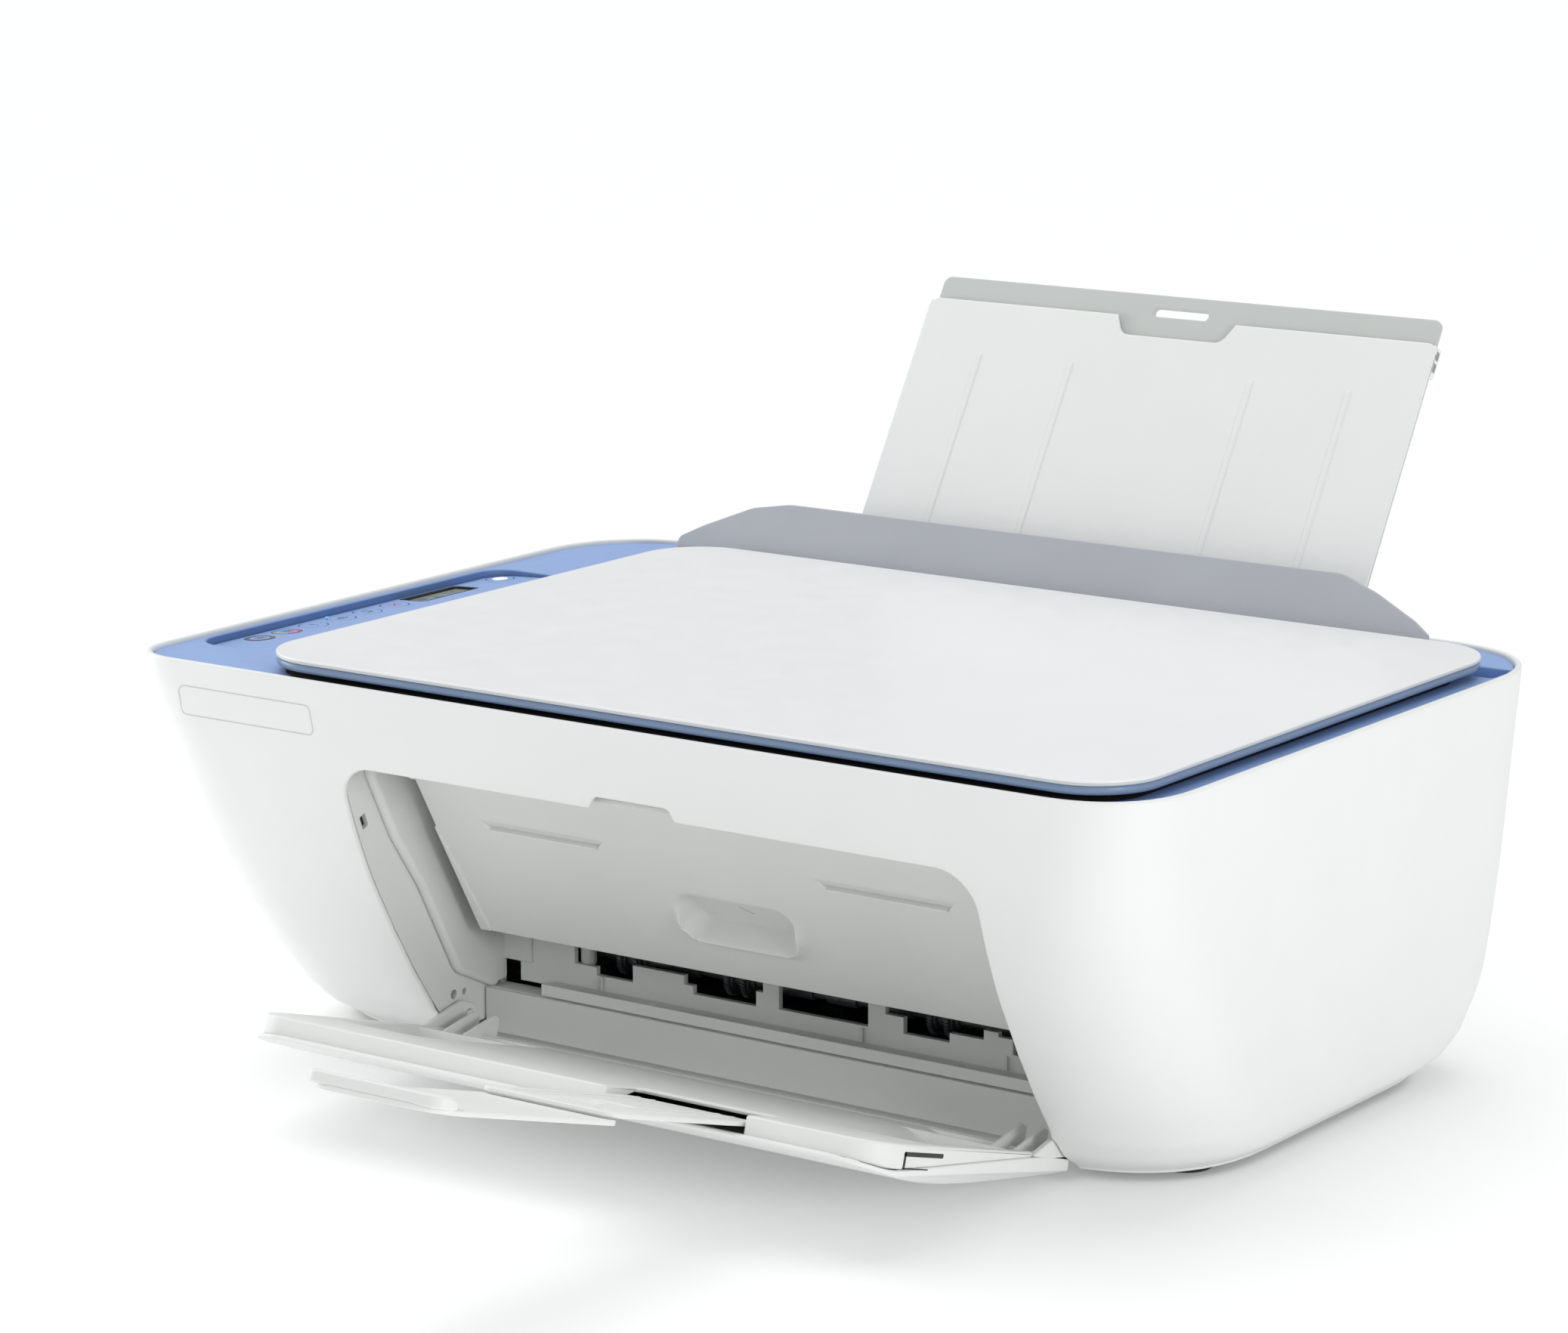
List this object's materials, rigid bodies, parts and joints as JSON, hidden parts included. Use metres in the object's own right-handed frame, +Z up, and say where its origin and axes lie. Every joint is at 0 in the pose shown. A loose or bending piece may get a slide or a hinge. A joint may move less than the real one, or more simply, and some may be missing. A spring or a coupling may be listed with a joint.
{
  "type": "inkjet printer",
  "caption": "Flat-bed scanning inkjet printer: rounded white casing, lifting lid, rear paper feed, control strip and fold-down output tray.",
  "frame": {"origin": "middle of the printer's whole box, tray and support extended, on the desk", "axes": "+X to the user's right, front and output tray towards -Y, +Z up"},
  "size_m": [0.425, 0.5492, 0.252],
  "materials": {
    "casing_white": "fine texture",
    "lid_white": "satin",
    "inner_grey": "fine texture",
    "base_grey": "fine texture",
    "panel_blue": "fine texture",
    "black_plastic": "satin",
    "rubber": "matte",
    "steel": "brushed",
    "bed_glass": "polished",
    "smoke_clear": "translucent satin",
    "display_glass": "gloss",
    "light_cyan": "gloss",
    "board_green": "solder resist",
    "foam_white": "foam backed sheet",
    "brushed_can": "plated"
  },
  "bodies": {
    "casing": {"outer_shell": "casing_white", "base_pan": "base_grey", "foot_front_left": "rubber", "foot_front_right": "rubber", "foot_rear_left": "rubber", "foot_rear_right": "rubber", "top_frame": "panel_blue", "scanner_glass": "bed_glass", "scanner_tub": "black_plastic", "control_panel": "panel_blue", "display": "display_glass", "wireless_light": "light_cyan", "control_board": "board_green", "feed_chute": "inner_grey", "front_frame": "inner_grey", "exit_guide": "inner_grey", "platen": "black_plastic", "chassis": "steel", "carriage_rail": "steel", "encoder_strip": "smoke_clear", "drive_belt": "rubber", "transfer_belt": "rubber", "carriage_motor": "brushed_can", "feed_motor": "brushed_can", "service_station": "black_plastic", "power_supply": "black_plastic", "main_board": "board_green", "power_inlet": "black_plastic", "usb_port": "steel", "rear_cover": "inner_grey"},
    "scanner_lid": {"lid_cover": "lid_white", "lid_pad": "foam_white"},
    "scan_head": {"scan_bar": "black_plastic"},
    "input_shield": {"input_shield": "smoke_clear"},
    "paper_support": {"paper_support": "casing_white"},
    "support_extender": {"support_extender": "inner_grey"},
    "width_guide_left": {"width_guide_left": "inner_grey"},
    "width_guide_right": {"width_guide_right": "inner_grey"},
    "access_door": {"access_door": "inner_grey"},
    "output_tray": {"output_tray": "casing_white", "tray_liner": "casing_white"},
    "tray_extender": {"tray_extender": "casing_white"},
    "extender_end": {"extender_end": "casing_white"},
    "print_carriage": {"carriage": "black_plastic", "black_cartridge": "black_plastic", "colour_cartridge": "black_plastic"},
    "motor_pulley": {"motor_pulley": "steel"},
    "idler_pulley": {"idler_pulley": "inner_grey"},
    "feed_roller": {"feed_roller": "rubber"},
    "exit_roller": {"exit_roller": "rubber"},
    "pinch_roller": {"pinch_roller": "rubber"},
    "star_wheels": {"star_wheels": "black_plastic"},
    "pick_roller": {"pick_roller": "rubber"},
    "copy_button": {"copy_button": "panel_blue"},
    "colour_copy_button": {"colour_copy_button": "panel_blue"},
    "information_button": {"information_button": "panel_blue"},
    "wireless_button": {"wireless_button": "panel_blue"},
    "resume_button": {"resume_button": "panel_blue"},
    "cancel_button": {"cancel_button": "panel_blue"},
    "power_button": {"power_button": "panel_blue"}
  },
  "joints": [
    {"name": "lid_hinge", "type": "hinge", "parent": "casing", "child": "scanner_lid", "pos_m": [0.024, 0.18117, 0.149], "axis": [-1, 0, 0], "range_deg": [0, 68]},
    {"name": "shield_hinge", "type": "hinge", "parent": "casing", "child": "input_shield", "pos_m": [0.004, 0.19117, 0.15], "axis": [1, 0, 0], "range_deg": [-8, 30]},
    {"name": "support_slide", "type": "slide", "parent": "casing", "child": "paper_support", "axis": [0, 0.5176, 0.8556], "range_m": [-0.106, 0]},
    {"name": "support_extender_slide", "type": "slide", "parent": "paper_support", "child": "support_extender", "axis": [0, 0.5176, 0.8556], "range_m": [-0.0115, 0]},
    {"name": "left_guide_slide", "type": "slide", "parent": "casing", "child": "width_guide_left", "axis": [1, 0, 0], "range_m": [0, 0.055]},
    {"name": "right_guide_slide", "type": "slide", "parent": "casing", "child": "width_guide_right", "axis": [1, 0, 0], "range_m": [-0.055, 0]},
    {"name": "door_hinge", "type": "hinge", "parent": "casing", "child": "access_door", "pos_m": [0.02, -0.04583, 0.114], "axis": [-1, 0, 0], "range_deg": [0, 85]},
    {"name": "tray_hinge", "type": "hinge", "parent": "casing", "child": "output_tray", "pos_m": [0, -0.00583, 0.013], "axis": [1, 0, 0], "range_deg": [-47, 0]},
    {"name": "tray_extender_slide", "type": "slide", "parent": "output_tray", "child": "tray_extender", "axis": [0, -0.9598, 0.2807], "range_m": [-0.0916, 0]},
    {"name": "extender_end_slide", "type": "slide", "parent": "tray_extender", "child": "extender_end", "axis": [0, -0.9598, 0.2807], "range_m": [-0.0714, 0]},
    {"name": "scan_slide", "type": "slide", "parent": "casing", "child": "scan_head", "axis": [1, 0, 0], "range_m": [0, 0.308]},
    {"name": "carriage_slide", "type": "slide", "parent": "casing", "child": "print_carriage", "axis": [-1, 0, 0], "range_m": [0, 0.27]},
    {"name": "motor_pulley_spin", "type": "hinge", "parent": "casing", "child": "motor_pulley", "pos_m": [-0.15, 0.10467, 0.103], "axis": [0, 0, 1], "continuous": true},
    {"name": "idler_pulley_spin", "type": "hinge", "parent": "casing", "child": "idler_pulley", "pos_m": [0.188, 0.10467, 0.103], "axis": [0, 0, 1], "continuous": true},
    {"name": "feed_roller_spin", "type": "hinge", "parent": "casing", "child": "feed_roller", "pos_m": [0, 0.11467, 0.0205], "axis": [1, 0, 0], "continuous": true},
    {"name": "exit_roller_spin", "type": "hinge", "parent": "casing", "child": "exit_roller", "pos_m": [0, 0.02867, 0.021], "axis": [1, 0, 0], "continuous": true},
    {"name": "pinch_roller_spin", "type": "hinge", "parent": "casing", "child": "pinch_roller", "pos_m": [0, 0.11467, 0.0336], "axis": [1, 0, 0], "continuous": true},
    {"name": "star_wheels_spin", "type": "hinge", "parent": "casing", "child": "star_wheels", "pos_m": [0, 0.02867, 0.0345], "axis": [1, 0, 0], "continuous": true},
    {"name": "pick_roller_spin", "type": "hinge", "parent": "casing", "child": "pick_roller", "pos_m": [0, 0.14617, 0.1014], "axis": [1, 0, 0], "continuous": true},
    {"name": "copy_button_press", "type": "slide", "parent": "casing", "child": "copy_button", "axis": [0, 0, -1], "range_m": [0, 0.0008], "stiffness_N_per_m": 600, "springref_m": -0.0004},
    {"name": "colour_copy_button_press", "type": "slide", "parent": "casing", "child": "colour_copy_button", "axis": [0, 0, -1], "range_m": [0, 0.0008], "stiffness_N_per_m": 600, "springref_m": -0.0004},
    {"name": "information_button_press", "type": "slide", "parent": "casing", "child": "information_button", "axis": [0, 0, -1], "range_m": [0, 0.0008], "stiffness_N_per_m": 600, "springref_m": -0.0004},
    {"name": "wireless_button_press", "type": "slide", "parent": "casing", "child": "wireless_button", "axis": [0, 0, -1], "range_m": [0, 0.0008], "stiffness_N_per_m": 600, "springref_m": -0.0004},
    {"name": "resume_button_press", "type": "slide", "parent": "casing", "child": "resume_button", "axis": [0, 0, -1], "range_m": [0, 0.0008], "stiffness_N_per_m": 600, "springref_m": -0.0004},
    {"name": "cancel_button_press", "type": "slide", "parent": "casing", "child": "cancel_button", "axis": [0, 0, -1], "range_m": [0, 0.0008], "stiffness_N_per_m": 600, "springref_m": -0.0004},
    {"name": "power_button_press", "type": "slide", "parent": "casing", "child": "power_button", "axis": [0, 0, -1], "range_m": [0, 0.0008], "stiffness_N_per_m": 600, "springref_m": -0.0004}
  ],
  "couplings": [
    {"joint": "right_guide_slide", "follows": "left_guide_slide", "ratio": -1},
    {"joint": "tray_extender_slide", "follows": "tray_hinge", "m_per_rad": 0.11154},
    {"joint": "extender_end_slide", "follows": "tray_hinge", "m_per_rad": 0.086919},
    {"joint": "motor_pulley_spin", "follows": "carriage_slide", "rad_per_m": -147.06},
    {"joint": "idler_pulley_spin", "follows": "carriage_slide", "rad_per_m": -147.06},
    {"joint": "exit_roller_spin", "follows": "feed_roller_spin", "ratio": 1.0833},
    {"joint": "pinch_roller_spin", "follows": "feed_roller_spin", "ratio": -1.2037}
  ]
}
